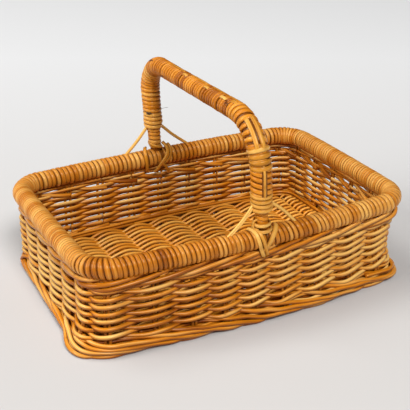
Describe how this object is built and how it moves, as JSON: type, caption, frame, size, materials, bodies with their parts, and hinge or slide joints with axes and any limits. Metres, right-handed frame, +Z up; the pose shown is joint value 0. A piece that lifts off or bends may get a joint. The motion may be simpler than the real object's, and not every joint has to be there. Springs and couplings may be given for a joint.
{
  "type": "wicker basket",
  "caption": "Rectangular wicker basket with rounded corners, a cane-bound rim and a fixed, braced bow handle over the middle.",
  "frame": {"origin": "middle of the basket's plan, on the ground under its foot", "axes": "+X along the long sides, +Y from the front long side to the back one, +Z up; the handle stands in the YZ plane"},
  "size_m": [0.4248, 0.2956, 0.2423],
  "materials": {
    "base_rod": "dry rod with a soft sheen",
    "stake_rod": "dry rod with a soft sheen",
    "weaver_rod": "stained rod, satin",
    "core_cane": "peeled cane, satin",
    "binding_cane": "split cane, satin",
    "brace_cane": "thin round cane, satin",
    "nail_steel": "dull steel"
  },
  "bodies": {
    "root": {"base_sticks": "base_rod", "base_weavers": "base_rod", "stakes_front": "stake_rod", "stakes_back": "stake_rod", "stakes_left_end": "stake_rod", "stakes_right_end": "stake_rod", "foot_round": "weaver_rod", "foot_border_sides": "weaver_rod", "foot_border_corners": "weaver_rod", "weave_round_1": "weaver_rod", "weave_round_2": "weaver_rod", "weave_round_3": "weaver_rod", "weave_round_4": "weaver_rod", "weave_round_5": "weaver_rod", "weave_round_6": "weaver_rod", "weave_round_7": "weaver_rod", "weave_round_8": "weaver_rod", "weave_round_9": "weaver_rod", "top_wale_sides": "weaver_rod", "top_wale_corners": "weaver_rod", "rim_hoop": "core_cane", "handle_bow": "core_cane", "rim_binding_right": "binding_cane", "rim_binding_left": "binding_cane", "handle_binding": "binding_cane", "handle_braces": "brace_cane", "handle_nails": "nail_steel"}
  },
  "joints": []
}
